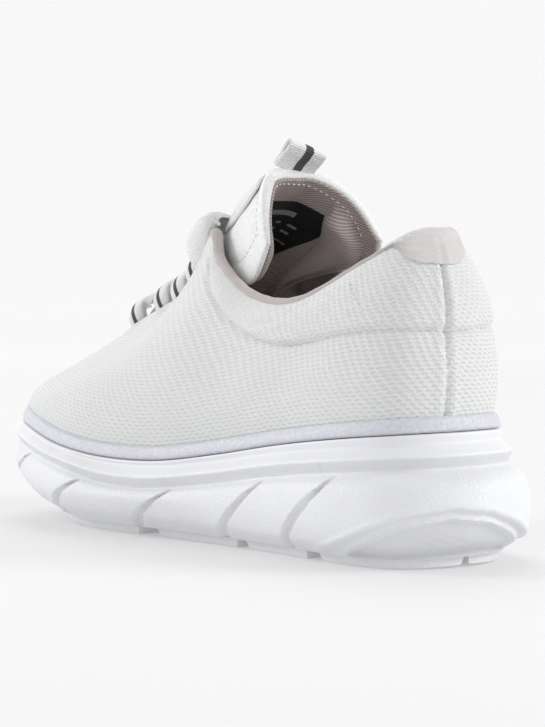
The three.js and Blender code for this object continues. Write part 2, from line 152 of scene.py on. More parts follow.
class Surface:
    """A principled material and short names for the nodes that feed it."""

    def __init__(self, name, colour, roughness, sheen=0.0, specular=0.5):
        self.material = bpy.data.materials.new(name)
        self.material.use_nodes = True
        self.tree = self.material.node_tree
        self.shader = self.tree.nodes["Principled BSDF"]
        self.shader.inputs["Base Color"].default_value = linear(colour)
        self.shader.inputs["Roughness"].default_value = roughness
        self.shader.inputs["Specular IOR Level"].default_value = specular
        if sheen:
            self.shader.inputs["Sheen Weight"].default_value = sheen
            self.shader.inputs["Sheen Roughness"].default_value = 0.4
        self.last_bump = None

    def node(self, kind, inputs, output=0, **settings):
        node = self.tree.nodes.new("ShaderNode" + kind)
        for key, value in settings.items():
            setattr(node, key, value)
        for key, value in inputs.items():
            if isinstance(value, bpy.types.NodeSocket):
                self.tree.links.new(value, node.inputs[key])
            else:
                node.inputs[key].default_value = value
        return node.outputs[output]

    def math(self, operation, a, b=0.0):
        return self.node("Math", {0: a, 1: b}, operation=operation)

    def add(self, a, b):
        return self.math("ADD", a, b)

    def times(self, a, b):
        return self.math("MULTIPLY", a, b)

    def cosine(self, length, pitch):
        """A wave along a length in millimetres, one period for each pitch."""
        return self.math("COSINE", self.times(length, 2 * math.pi / pitch))

    def crossed(self, along, across, pitch):
        """Two slanted waves that cross, as in a basket weave or a hatch."""
        return self.times(self.cosine(self.add(along, across), pitch),
                          self.cosine(self.math("SUBTRACT", along, across), pitch))

    def cloth(self):
        """Millimetres along the piece, millimetres across it, and the share of its special finish."""
        place = self.node("Attribute", {}, output=1, attribute_name="cloth")
        return [self.node("SeparateXYZ", {0: place}, output=i) for i in range(3)]

    def grain(self, size, detail=3.0, seed=0.0):
        """Noise with cells of a given size in millimetres, from 0 to 1."""
        place = self.node("TexCoord", {}, output=3)
        moved = self.node("VectorMath", {0: place, 1: (seed, seed, seed)}, operation="ADD")
        return self.node("TexNoise", {"Vector": moved, "Scale": 1 / (size * MM), "Detail": detail})

    def fade(self, value, low, high, to_low=0.0, to_high=1.0):
        return self.node("MapRange", {"Value": value, "From Min": low, "From Max": high,
                                      "To Min": to_low, "To Max": to_high},
                         interpolation_type="SMOOTHSTEP")

    def blend(self, share, a, b):
        colours = [linear(c) if isinstance(c, tuple) else c for c in (a, b)]
        node = self.tree.nodes.new("ShaderNodeMix")
        node.data_type = "RGBA"
        for socket, value in zip((node.inputs[0], node.inputs[6], node.inputs[7]), (share, *colours)):
            if isinstance(value, bpy.types.NodeSocket):
                self.tree.links.new(value, socket)
            else:
                socket.default_value = value
        return node.outputs[2]

    def colour(self, socket):
        self.tree.links.new(socket, self.shader.inputs["Base Color"])

    def roughness(self, socket):
        self.tree.links.new(socket, self.shader.inputs["Roughness"])

    def raise_by(self, height, depth):
        """Adds relief of a given depth in millimetres; several add up."""
        inputs = {"Height": height, "Distance": depth * MM, "Strength": 1.0}
        if self.last_bump is not None:
            inputs["Normal"] = self.last_bump
        self.last_bump = self.node("Bump", inputs)
        self.tree.links.new(self.last_bump, self.shader.inputs["Normal"])


# The pitch of the knit's scales in millimetres, across the rows and along them.
KNIT_ROW = 1.45
KNIT_DASH = 3.2


def knit_material():
    """The upper's mesh: long staggered scales with thin wavy creases; plain ribs on the collar's front."""
    s = Surface("engineered_mesh", (0.89, 0.9, 0.897), 0.85, sheen=0.1, specular=0.2)
    along, across, ribbed = s.cloth()
    along = s.add(along, s.times(s.add(s.grain(9, 2), -0.5), 1.4))
    across = s.add(across, s.times(s.add(s.grain(12, 2, seed=0.7), -0.5), 1.4))
    rows = s.times(across, 1 / KNIT_ROW)
    number = s.math("FLOOR", rows)
    local = s.add(s.math("SUBTRACT", rows, number), -0.5)
    phase = s.add(s.times(along, 2 * math.pi / KNIT_DASH), s.times(number, math.pi))
    wave = s.math("COSINE", phase)
    centre = s.times(s.math("SINE", phase), 0.16)
    off = s.math("ABSOLUTE", s.math("SUBTRACT", local, centre))
    scale = s.times(s.fade(off, 0.26, 0.5, 1.0, 0.0), s.fade(wave, -1.0, -0.6, 0.4, 1.0))
    rib = s.fade(s.cosine(s.add(along, s.times(across, 0.35)), 1.7), -0.95, 0.5)
    plain = s.math("SUBTRACT", 1.0, ribbed)
    height = s.add(s.times(scale, plain), s.times(rib, ribbed))
    height = s.add(height, s.times(s.grain(0.35, 2, seed=1.0), 0.35))
    # The thread's colour darkens where the relief is low: painted shade in the creases between the scales and
    # ribs.
    thread = s.blend(s.fade(height, 0.1, 0.7), (0.838, 0.842, 0.84), (0.885, 0.89, 0.888))
    s.colour(s.blend(s.fade(s.grain(40, 2, seed=2.0), 0.3, 0.7, 0.0, 0.25), thread, (0.88, 0.885, 0.882)))
    s.raise_by(height, 0.24)
    return s.material


def twill_material(name, light, dark, pitch=1.0, relief=0.2, dots=False):
    """A closely woven fabric: slanted ribs, or a dotted basket weave."""
    s = Surface(name, light, 0.85, sheen=0.3, specular=0.2)
    along, across, _ = s.cloth()
    if dots:
        ribs = s.crossed(along, across, pitch)
    else:
        ribs = s.cosine(s.add(along, s.times(across, 0.7)), pitch)
    height = s.add(s.fade(ribs, -0.8, 0.8), s.times(s.grain(0.3, 2), 0.5))
    shade = s.blend(s.fade(height, 0.1, 1.2), dark, light)
    s.colour(s.blend(s.times(s.grain(25, 2, seed=3.0), 0.25), shade, dark))
    s.raise_by(height, relief)
    return s.material


def fleece_material():
    """The brushed face of the tongue: soft tufts over a fine knit."""
    s = Surface("brushed_knit", (0.95, 0.95, 0.95), 0.95, sheen=0.15, specular=0.15)
    along, across, _ = s.cloth()
    tuft = s.grain(1.3, 4, seed=4.0)
    fibre = s.grain(0.3, 3, seed=5.0)
    knit = s.times(s.cosine(along, 1.6), s.cosine(across, 1.1))
    height = s.add(s.add(s.times(tuft, 1.2), s.times(fibre, 0.6)), s.times(knit, 0.2))
    # Darker between the tufts, lighter on them: painted shade in the hollows of the brushed face.
    s.colour(s.blend(s.fade(height, 0.55, 1.25), (0.93, 0.933, 0.935), (0.985, 0.985, 0.985)))
    s.raise_by(height, 0.4)
    return s.material


def webbing_material(name, stripe_width):
    """Ribbed woven tape, white, with a dark stripe along its middle where it has one."""
    s = Surface(name, (0.95, 0.95, 0.95), 0.7, sheen=0.05, specular=0.3)
    along, across, _ = s.cloth()
    rib = s.fade(s.cosine(along, 0.95), -0.9, 0.7)
    warp = s.fade(s.cosine(across, 0.7), -1, 1)
    height = s.add(s.add(rib, s.times(warp, 0.35)), s.times(s.grain(0.25, 2), 0.3))
    # Darker in the hollows between the ribs, lighter on their crests: painted shade, on the white and on the
    # dark stripe alike.
    white = s.blend(s.fade(height, 0.1, 1.3), (0.91, 0.91, 0.915), (0.985, 0.985, 0.985))
    edge = s.add(s.math("ABSOLUTE", across), s.times(rib, 0.15))
    inside = s.fade(edge, stripe_width / 2 - 0.1, stripe_width / 2 + 0.1, 1.0, 0.0)
    dark = s.blend(s.fade(height, 0.1, 1.3), (0.20, 0.205, 0.21), (0.36, 0.37, 0.38))
    s.colour(s.blend(inside, white, dark) if stripe_width else white)
    s.raise_by(height, 0.22)
    return s.material


def foam_rubber_material(name, colour, roughness=0.5):
    """Moulded sole: a leather-like pebble, and a fine diagonal hatch where the third value is one."""
    s = Surface(name, colour, roughness, specular=0.45)
    along, across, hatched = s.cloth()
    pebble = s.fade(s.grain(1.1, 4, seed=6.0), 0.35, 0.65)
    hatch = s.fade(s.crossed(along, across, 1.15), -0.5, 0.5)
    pebbled = s.times(s.fade(hatched, 0.3, 0.0), 0.55)
    lined = s.times(s.fade(hatched, 0.7, 1.0), 0.7)
    height = s.add(s.times(pebble, pebbled), s.times(hatch, lined))
    tone = tuple(c * 0.985 for c in colour)
    s.colour(s.blend(s.fade(s.grain(18, 3, seed=7.0), 0.35, 0.75), colour, tone))
    s.raise_by(height, 0.16)
    s.roughness(s.fade(s.grain(6, 2, seed=8.0), 0.3, 0.7, roughness - 0.06, roughness + 0.08))
    return s.material


def leather_material():
    """The lilac-grey band: soft synthetic leather with fine creases."""
    s = Surface("band_leather", (0.82, 0.82, 0.85), 0.45, specular=0.45)
    place = s.node("TexCoord", {}, output=3)
    bent = s.node("VectorMath", {0: place, 1: s.times(s.grain(3, 2, seed=0.3), 3 * MM)}, operation="ADD")
    creases = s.node("TexVoronoi", {"Vector": bent, "Scale": 1 / (1.9 * MM)}, feature="DISTANCE_TO_EDGE")
    height = s.add(s.times(s.fade(creases, 0.0, 0.12), 0.35), s.grain(1.6, 5, seed=9.0))
    # Darker where the relief is low, in the creases and the grain: painted shade in the hollows.
    s.colour(s.blend(s.fade(height, 0.3, 1.2), (0.79, 0.79, 0.825), (0.845, 0.845, 0.875)))
    s.raise_by(height, 0.2)
    return s.material


def board_material():
    """Non-woven board and foam that stay inside the shoe."""
    s = Surface("fibre_board", (0.86, 0.84, 0.80), 0.95, specular=0.1)
    fleck = s.grain(0.8, 4, seed=10.0)
    s.colour(s.blend(s.fade(fleck, 0.35, 0.65), (0.78, 0.76, 0.72), (0.88, 0.86, 0.82)))
    s.raise_by(fleck, 0.15)
    return s.material


def thread_material():
    s = Surface("sewing_thread", (0.95, 0.95, 0.95), 0.6, sheen=0.2)
    along, _, _ = s.cloth()
    twist = s.fade(s.cosine(along, 0.5), -1, 1)
    # Darker in the grooves of the twist, lighter on its crests: painted shade.
    s.colour(s.blend(twist, (0.84, 0.84, 0.84), (0.97, 0.97, 0.97)))
    s.raise_by(twist, 0.05)
    return s.material


def label_material():
    """A woven label: dark satin with plain light bars, no lettering."""
    s = Surface("woven_label", (0.10, 0.10, 0.11), 0.6, sheen=0.1, specular=0.3)
    along, across, printed = s.cloth()
    weft = s.cosine(across, 0.6)
    dark = s.blend(s.fade(weft, -1, 1), (0.07, 0.07, 0.08), (0.14, 0.14, 0.15))
    s.colour(s.blend(s.fade(printed, 0.4, 0.6), dark, (0.62, 0.62, 0.63)))
    s.raise_by(s.add(weft, s.cosine(along, 0.6)), 0.06)
    return s.material


# ---- the last: the surfaces that every layer follows ---------------------------------------

# From the middle of the heel to the tip of the toe: foot x, outer y, inner y, z; edge x, half width, z;
# the two handles of the curve between them (out, rise; back x, y, z); the sole's flare and tuck.
STATIONS = [
    (-112, 0, 0, 50.0, -103, 0, 110, 5, 24, -5, 0, -24, 16, 8),
    (-105, 21, -21, 49.4, -98, 10, 109, 5, 22, -4, 9, -22, 13, 7),
    (-84, 30, -30, 47.0, -85, 20, 100, 5, 20, 0, 9, -20, 10, 4),
    (-54, 31, -30, 42.8, -60, 28, 87, 5, 16, 0, 4, -15, 8.5, 3),
    (-24, 33, -28, 37.6, -36, 29, 88, 6, 16, 2, 5, -16, 8, 2),
    (6, 38, -30, 33.3, -14, 26, 99, 6, 20, 4, 12, -22, 8, 0),
    (32, 43, -34, 33.0, 0, 20, 109.5, 5, 22, 1, 8, -27, 8, -1),
    (56, 45, -39, 35.5, 19, 15.5, 90.5, 4, 20, 4, 8, -20, 7.5, -2),
    (80, 41, -42, 39.5, 41.5, 13.6, 81.5, 3, 13, 8.5, 10, -17, 6.5, -3),
    (100, 32, -41, 42.0, 63, 11, 74.5, 3, 9, 13, 8.5, -14, 5.5, -5),
    (114, 17, -34, 44.0, 70, 5.5, 71.2, 3, 7.5, 17, 5, -12, 5, -6),
    (121, -7, -7, 45.0, 72, 0, 70.5, 3, 7.5, 19, 0, -11, 5, -7),
]
TOE = len(STATIONS) - 1
AROUND = 2 * TOE
# The back seam's place, in stations from the middle of the heel; then millimetres.
SEAM = 0.28
SKIN, GAP, LINING, COUNTER = 1.6, 0.3, 0.9, 1.2
SOLE_BOTTOM = 3.3
TREAD = 3.0


def smooth(x, low, high):
    t = np.clip((x - low) / (high - low), 0, 1)
    return t * t * (3 - 2 * t)


def unit(v):
    return v / np.maximum(np.linalg.norm(v, axis=-1, keepdims=True), 1e-9)


def arch(x):
    """A half circle over -1 to 1, and nothing beyond."""
    return np.sqrt(np.maximum(1 - x ** 2, 0))


def hump(x, width):
    return np.exp(-(x / width) ** 2)


def middle_y(x):
    return -5.5 * np.clip((x + 20) / 140, 0, 1) ** 1.5


def station_row(index):
    side = 1 if index <= TOE else -1
    k = STATIONS[index if index <= TOE else AROUND - index]
    foot_y = k[1] if side > 0 else k[2]
    return (k[0], foot_y, k[3], k[4], side * k[5] + middle_y(k[4]), k[6], k[7], k[8],
            k[9], side * k[10], k[11], k[12], k[13])


STATION_ROWS = np.array([station_row(i) for i in range(AROUND)], float)


def through(a, b, c, d, f):
    """A smooth curve through b and c, on its way from a to d."""
    return 0.5 * (2 * b + (c - a) * f + (2 * a - 5 * b + 4 * c - d) * f ** 2
                  + (3 * b - a - 3 * c + d) * f ** 3)


def keys(u):
    u = np.asarray(u, float)
    base = np.floor(u).astype(int)
    rows = [STATION_ROWS[(base + k) % AROUND] for k in (-1, 0, 1, 2)]
    return through(*rows, (u - base)[..., None])


def outward(u):
    along = keys(u + 0.05) - keys(u - 0.05)
    return unit(np.stack([-along[..., 1], along[..., 0], 0 * along[..., 0]], -1))


def heelness(x):
    return np.clip((20 - x) / 120, 0, 1)


def band_depth(x):
    return 4.6 + 0.4 * heelness(x)


def skin_point(u, v):
    k = keys(u)
    foot, edge = k[..., 0:3], k[..., 3:6]
    t = np.clip(v, 0, 1.08)[..., None]
    first = foot + outward(u) * k[..., 6:7] + UP * k[..., 7:8]
    second = edge + k[..., 8:11]
    s = 1 - t
    point = s ** 3 * foot + 3 * s * s * t * first + 3 * s * t * t * second + t ** 3 * edge
    return point + UP * (np.minimum(v, 0) * band_depth(k[..., 0]))[..., None]


def skin_normal(u, v):
    w = np.maximum(v, 0.0)
    across = skin_point(u + 0.04, w) - skin_point(u - 0.04, w)
    along = skin_point(u, np.minimum(w + 0.02, 1)) - skin_point(u, np.maximum(w - 0.02, 0))
    face = unit(np.cross(along, across))
    below = smooth(-v, 0.0, 0.1)[..., None]
    return unit(face * (1 - below) + outward(u) * below)


def skin(u, v, depth):
    u, v = np.broadcast_arrays(np.asarray(u, float), np.asarray(v, float))
    return skin_point(u, v) - skin_normal(u, v) * np.broadcast_to(depth, u.shape)[..., None]


def from_heel(u):
    return np.minimum(np.mod(u, AROUND), AROUND - np.mod(u, AROUND))


def filling(u, v):
    """What lies between the upper and its lining: foam at the collar, the counter low down."""
    t = np.clip((v - 0.5) / 0.5, 0, 1)
    foam = (1 + 5 * (1 - smooth(from_heel(u), 3.5, 6))) * np.sin(np.pi * t) ** 0.8
    stiff = COUNTER * (1 - smooth(v, 0.45, 0.58))
    return np.maximum(0.4, np.maximum(foam, stiff))


def lining_depth(u, v):
    return SKIN + 2 * GAP + filling(u, v)


def inside_lining(u, v):
    return lining_depth(u, v) + LINING


# ---- meshes --------------------------------------------------------------------------------

def even(low, high, count):
    return np.linspace(low, high, count)


def eased(low, high, count):
    """Places that crowd towards both ends, where an edge is rounded."""
    return low + (high - low) * (1 - np.cos(np.linspace(0, np.pi, count))) / 2


def lengths_along(points, axis):
    steps = np.linalg.norm(np.diff(points, axis=axis), axis=-1)
    start = np.zeros_like(np.take(steps, [0], axis=axis))
    return np.concatenate([start, np.cumsum(steps, axis=axis)], axis=axis)


def add_piece(name, points, faces, cloth, material, body, stands_for=(), sharp=60):
    """Makes a mesh from points in mm and quads; cloth gives each corner its place on the fabric."""
    corners = points[faces]
    middle = points.mean(axis=0)
    volume = np.einsum("ij,ij->i", corners[:, 0] - middle,
                       np.cross(corners[:, 1] - middle, corners[:, 2] - middle)).sum()
    if volume < 0:
        faces = faces[:, ::-1]
        cloth = cloth[:, ::-1]
    mesh = bpy.data.meshes.new(name)
    mesh.from_pydata((points + PLACE) * MM, [], faces.tolist())
    marks = mesh.attributes.new("cloth", "FLOAT_VECTOR", "CORNER")
    marks.data.foreach_set("vector", cloth.reshape(-1).astype(np.float32))
    mesh.materials.append(material)
    mesh.shade_smooth()
    mesh.set_sharp_from_angle(angle=math.radians(sharp))
    piece = bpy.data.objects.new(name, mesh)
    bpy.context.scene.collection.objects.link(piece)
    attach(piece, body)
    if stands_for:
        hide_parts(*stands_for)
    return piece


def grid_quads(n, m):
    """The quads of an n by m grid of points, stored row after row."""
    i, j = np.meshgrid(np.arange(n - 1), np.arange(m - 1), indexing="ij")
    a = (i * m + j).ravel()
    return np.stack([a, a + m, a + m + 1, a + 1], -1)


def shell_faces(n, m):
    """The quads of two n by m grids, one behind the other, joined along all four sides."""
    front = grid_quads(n, m)
    back = front[:, ::-1] + n * m
    i, j = np.arange(n - 1) * m, np.arange(m - 1)
    low = np.stack([i, i + n * m, i + m + n * m, i + m], -1)
    high = low[:, ::-1] + m - 1
    first = np.stack([j, j + 1, j + 1 + n * m, j + n * m], -1)
    last = first[:, ::-1] + (n - 1) * m
    return front, back, low, high, first, last


def merged(points, faces, index):
    """Points and faces with every point that index sends to another left out."""
    kept = np.unique(index)
    renumber = np.zeros(len(points), int)
    renumber[kept] = np.arange(len(kept))
    return points[kept], renumber[index[faces]]


def shell(name, front, back, material, body, stands_for=(), wrap=False, cloth=None):
    """A closed piece between two grids of points. With wrap, the last column repeats the first."""
    n, m = front.shape[:2]
    parts = shell_faces(n, m)
    faces = np.concatenate(parts[:4] if wrap else parts)
    if cloth is None:
        cloth = np.stack([lengths_along(front, 0), lengths_along(front, 1), 0 * front[..., 0]], -1)
    marks = np.concatenate([cloth.reshape(-1, 3)] * 2)[faces]
    points = np.concatenate([front.reshape(-1, 3), back.reshape(-1, 3)])
    if wrap:
        index = np.arange(2 * n * m).reshape(2, n, m)
        index[:, -1] = index[:, 0]
        points, faces = merged(points, faces, index.ravel())
    return add_piece(name, points, faces, marks, material, body, stands_for)


def to_nearest_end(points, axis):
    """How far each point of a grid lies from the nearer end of its line."""
    run = lengths_along(points, axis)
    return np.minimum(run, np.take(run, [-1], axis=axis) - run)


def edge_drop(points, thick, wrap):
    """How much each face gives way near the edges, so that a piece of this thickness ends round."""
    near = to_nearest_end(points, 1)
    if not wrap:
        near = np.minimum(near, to_nearest_end(points, 0))
    reach = np.minimum(thick / 2, 1.2)
    t = 1 - np.clip(near / reach, 0, 1)
    return thick / 2 * (1 - np.sqrt(1 - 0.98 * t * t))


def layer(name, u, v, outer, inner, material, stands_for=(), wrap=False, place=skin,
          body="shoe", cloth=None):
    """A layer of the shoe between two depths under the skin, with rounded edges."""
    grid_u, grid_v = np.meshgrid(u, v, indexing="ij")
    low = np.broadcast_to(outer(grid_u, grid_v) if callable(outer) else outer, grid_u.shape)
    high = np.broadcast_to(inner(grid_u, grid_v) if callable(inner) else inner, grid_u.shape)
    drop = edge_drop(place(grid_u, grid_v, low), high - low, wrap)
    front = place(grid_u, grid_v, low + drop)
    back = place(grid_u, grid_v, high - drop)
    marks = None
    if cloth is not None:
        marks = cloth(grid_u, grid_v, front)
    return shell(name, front, back, material, body, stands_for, wrap, marks)


def shell_tube(name, rings, material, body, stands_for=()):
    """Rings of points along a path, the last place on each ring repeating the first, with capped ends."""
    n, m = rings.shape[:2]
    cloth = np.stack([lengths_along(rings, 1), lengths_along(rings, 0), 0 * rings[..., 0]], -1)
    centres = np.stack([rings[:-1, 0].mean(axis=0), rings[:-1, -1].mean(axis=0)])
    points = np.concatenate([rings.reshape(-1, 3), centres])
    marks = np.concatenate([cloth.reshape(-1, 3), np.zeros((2, 3))])
    k = np.arange(0, n - 1, 2)
    start = np.stack([0 * k + n * m, (k + 2) * m, (k + 1) * m, k * m], -1)
    end = np.stack([0 * k + n * m + 1, k * m + m - 1, (k + 1) * m + m - 1, (k + 2) * m + m - 1], -1)
    faces = np.concatenate([grid_quads(n, m), start, end])
    marks = marks[faces]
    index = np.arange(len(points))
    index[(n - 1) * m:n * m] = index[:m]
    points, faces = merged(points, faces, index)
    return add_piece(name, points, faces, marks, material, body, stands_for)


def stitches(name, path, pitch, length, radius, material, body):
    """A row of short thread loops along a path of points, each a small tube that tapers at both ends."""
    starts, ends = dashes(path, pitch, length)
    sides, along = 6, np.array([0.0, 0.12, 0.5, 0.88, 1.0])
    swell = np.array([0.15, 0.8, 1.0, 0.8, 0.15]) * radius
    ahead = unit(ends - starts)
    one = unit(np.cross(ahead, UP + 0.01))
    two = np.cross(one, ahead)
    angle = 2 * np.pi * np.arange(sides) / sides
    centre = starts[:, None] + (ends - starts)[:, None] * along[None, :, None]
    ring = one[:, None] * np.cos(angle)[None, :, None] + two[:, None] * np.sin(angle)[None, :, None]
    points = centre[:, :, None] + ring[:, None] * swell[None, :, None, None]
    rows = len(along)
    i, j = np.meshgrid(np.arange(rows - 1), np.arange(sides), indexing="ij")
    a, b = (i * sides + j).ravel(), (i * sides + (j + 1) % sides).ravel()
    one_tube = np.stack([a, b, b + sides, a + sides], -1)
    caps = np.array([[3, 2, 1, 0], [5, 4, 3, 0]])
    caps = np.concatenate([caps, caps[:, ::-1] + (rows - 1) * sides])
    one_faces = np.concatenate([one_tube, caps])
    count = len(starts)
    faces = (one_faces[None] + (np.arange(count) * rows * sides)[:, None, None]).reshape(-1, 4)
    points = points.reshape(-1, 3)
    marks = np.stack([np.tile(np.repeat(along, sides), count) * 3, 0 * points[:, 0], 0 * points[:, 0]], -1)
    return add_piece(name, points, faces, marks[faces], material, body)


def dashes(path, pitch, length):
    """The starts and ends of stitches of a given length along a path of points, one in each pitch."""
    run = np.concatenate([[0], np.cumsum(np.linalg.norm(np.diff(path, axis=0), axis=1))])
    begins = np.arange(pitch / 2, run[-1] - length, pitch)
    at = lambda s: np.stack([np.interp(s, run, path[:, k]) for k in range(3)], -1)
    return at(begins), at(begins + length)


# ---- upper ---------------------------------------------------------------------------------

CHANNEL_U = [0, 1, 2, 3, 4, 5, 5.6, 6]
CHANNEL_V = [0.455, 0.49, 0.555, 0.655, 0.77, 0.905, 0.97, 1.0]


def channel(u):
    """Where the seam under the padded collar runs, as a share of the way up."""
    k = from_heel(u)
    low, high = np.interp(k - 0.25, CHANNEL_U, CHANNEL_V), np.interp(k + 0.25, CHANNEL_U, CHANNEL_V)
    return (low + high) / 2


def knit_relief(u, v):
    """How far the knit stands out of the last: collar padding, its seam and the back seam, in mm."""
    k = from_heel(u)
    height = 62 - 8 * smooth(k, 1, 3)
    seam_v = channel(u)
    below = (seam_v - v) * height
    share = np.clip((v - seam_v) / np.maximum(1 - seam_v, 0.02), 0, 1)
    width = (1 - seam_v) * height
    plump = np.minimum(2.8, width * 0.2) * np.sin(np.pi * share ** 0.8) ** 0.7
    plump = plump * (1 - smooth(k, 5.6, 6.0))
    length = u * 27
    pucker = 0.22 * np.sin(length * 1.9 + 0.8 * np.sin(length * 0.37))
    groove = (0.9 + pucker) * hump(below, 0.9) * (1 - smooth(k, 5.3, 5.8))
    swell = 0.35 * hump(below - 3.0, 2.0) * (1 - smooth(k, 5.0, 5.8))
    side = (np.mod(u - SEAM + AROUND / 2, AROUND) - AROUND / 2) * 22
    rise = v * 60
    teeth = 0.25 * np.sin(rise * 1.75 + 1.2 * np.sin(rise * 0.31))
    back = (1.0 + teeth) * hump(side, 0.8) - 0.55 * hump(np.abs(side) - 2.4, 1.5) * (1 + teeth)
    soft = 0.22 * np.sin(u * 2.3 + 1.0) * np.sin(v * 7.0 + u) + 0.12 * np.sin(u * 5.1) * np.sin(v * 11)
    return plump - groove + swell - back + soft * smooth(v, 0.05, 0.3) * (1 - smooth(v, 0.85, 1.0))


def knit_cloth(u, v, points):
    """Places on the fabric, measured from the tip of the toe so that only the back seam breaks them."""
    run = lengths_along(points, 0)
    middle = run[:, run.shape[1] // 2:run.shape[1] // 2 + 1]
    run = (run + middle) / 2
    along = run - run[np.argmin(np.abs(u[:, 0] - TOE))]
    seam_v = channel(u)
    k = from_heel(u)
    ribbed = smooth(v, seam_v, seam_v + 0.04) * (1 - smooth(k, 5.7, 6.1)) * smooth(k, 3.0, 4.4)
    return np.stack([along, lengths_along(points, 1), ribbed], -1)


def add_upper(mats):
    u = even(SEAM, SEAM + AROUND, 461)
    v = np.concatenate([even(-0.8, 0, 4)[:-1], even(0, 0.96, 66)[:-1], even(0.96, 1.0, 7)])
    layer("upper_knit", u, v, lambda a, b: -knit_relief(a, b), SKIN, mats["knit"],
          ("upper",), wrap=True, cloth=knit_cloth)


def add_foxing(mats):
    u = even(SEAM, SEAM + AROUND, 441)
    grid_u, t = np.meshgrid(u, even(0, 1, 17), indexing="ij")
    k = keys(grid_u)
    out = outward(grid_u)
    depth = band_depth(k[..., 0])
    bulge = 1.25 + 1.25 * smooth(t, 0.0, 0.8) + 0.25 * np.sin(np.pi * t)
    rounded = 1 - (1 - np.minimum(t / 0.16, 1)) ** 2
    tucked = 1 - 0.35 * smooth(t, 0.86, 1.0)
    front = k[..., :3] + out * (GAP + (bulge - GAP) * rounded * tucked)[..., None]
    front[..., 2] += 0.35 * (1 - t) - depth * t
    back = k[..., :3] + out * -0.3
    back[..., 2] = front[..., 2]
    shell("foxing_leather", front, back, mats["leather"], "shoe", ("foxing_band",), wrap=True)


# ---- sole ----------------------------------------------------------------------------------

# Where each groove starts under the crease and how far it leans, in stations from the heel.
GROOVE_TOPS = (1.75, 2.95, 4.5, 6.2, 7.7, 9.4)
GROOVE_LEAN = 1.0
# The rim of the facet at the back of the heel: stations from the heel, and heights in mm.
EYE_U = [-2.1, -1.6, -0.94, -0.44, 0, 0.46, 0.97, 1.54, 2.05, 2.35]
EYE_Z = [2, 3.3, 8.1, 14.5, 19.3, 21.1, 18.4, 10.9, 5.2, 2]


def rocker(x):
    return 0.0035 * np.maximum(x - 45, 0) ** 2 + 0.004 * np.maximum(-100 - x, 0) ** 2


def sole_profile(k):
    """Offsets and heights of the sole's side, from under the band down to the tread."""
    x, foot_z, flare, tuck = k[:, 0], k[:, 2], k[:, 11], k[:, 12]
    heel, front = heelness(x), smooth(x, 20, 60)
    ridge = 5.3 + 0.12 * flare
    bottom = SOLE_BOTTOM + rocker(x)
    top = foot_z - band_depth(x) - 0.2
    lip = foot_z - 6.6 - 2.0 * heel + 0.5 * front
    crest = foot_z - 10.3 - 2.0 * heel + 2.0 * front
    crease = foot_z - 14.3 - 2.3 * heel + 2.6 * front
    pod = bottom + 11 + 2 * heel
    rows = [(1.2 + 0 * x, top), (3.0 + 0 * x, top - 0.1), (3.3 + 0 * x, top - 0.7), (2.9 + 0 * x, lip + 0.4),
            (2.9 + 0 * x, lip), (ridge, crest), (ridge - 2.2, crease),
            (ridge - 2.2 + 0.74 * (flare - ridge + 2.2), crease + 0.3 * (pod - crease)),
            (flare, pod), ((flare + tuck) / 2 + 1, bottom + 5.5), (tuck, bottom + 2), (tuck - 3, bottom)]
    return np.array([r[0] for r in rows]), np.array([r[1] for r in rows])


# How many rows of the mesh lie between each two rows of the profile, and the profile row above the pods.
PROFILE_STEPS = (2, 4, 5, 3, 14, 14, 12, 16, 14, 8, 6)
POD_ROW = 6
RIDGE_SMOOTHING = 7


def sole_side(u):
    """The side of the sole as a grid: straight facets above the crease, one smooth bulge below it."""
    k = keys(u)
    offsets, heights = sole_profile(k)
    rows_o, rows_z, shares = [], [], []
    last = len(PROFILE_STEPS) - 1
    for i, count in enumerate(PROFILE_STEPS):
        for f in np.arange(count + (i == last)) / count:
            pick = [np.clip(i + s, POD_ROW if i >= POD_ROW else 0, last + 1) for s in (-1, 0, 1, 2)]
            if i < POD_ROW:
                offset = offsets[i] * (1 - f) + offsets[i + 1] * f
                height = heights[i] * (1 - f) + heights[i + 1] * f
            else:
                offset = through(*[offsets[p] for p in pick], f)
                height = through(*[heights[p] for p in pick], f)
            rows_o.append(offset)
            rows_z.append(height)
            shares.append(i + f)
    shares = np.array(shares)
    ridges = (shares > 3.2) & (shares < POD_ROW + 0.5)
    offset, height = np.array(rows_o), np.array(rows_z)
    for _ in range(RIDGE_SMOOTHING):
        for row in (offset, height):
            soft = (np.roll(row, 1, axis=0) + 2 * row + np.roll(row, -1, axis=0)) / 4
            row[ridges] = soft[ridges]
    return k, offset.T, height.T, shares


def groove_depth(u, z, crease, bottom):
    """The comma-shaped cuts between the pods, and the pods' own crown, on both sides of the sole."""
    fall = np.clip((crease - z) / (crease - bottom), 0, 1)
    k = from_heel(u)
    cut = np.zeros_like(z)
    for top in GROOVE_TOPS:
        away = (k - top - GROOVE_LEAN * fall ** 0.75) * 27
        half = 0.5 + 1.1 * smooth(fall, 0.0, 0.5)
        wall = smooth(away, -half - 0.5, -half) * (1 - smooth(away, half, half + 0.7))
        cut = np.maximum(cut, wall * (2.1 * smooth(fall, -0.02, 0.18)))
        cut = cut - 0.35 * hump(away + half + 2.2, 1.6) * smooth(fall, 0.0, 0.2)
    return cut * smooth(crease - z, 0.0, 0.8)


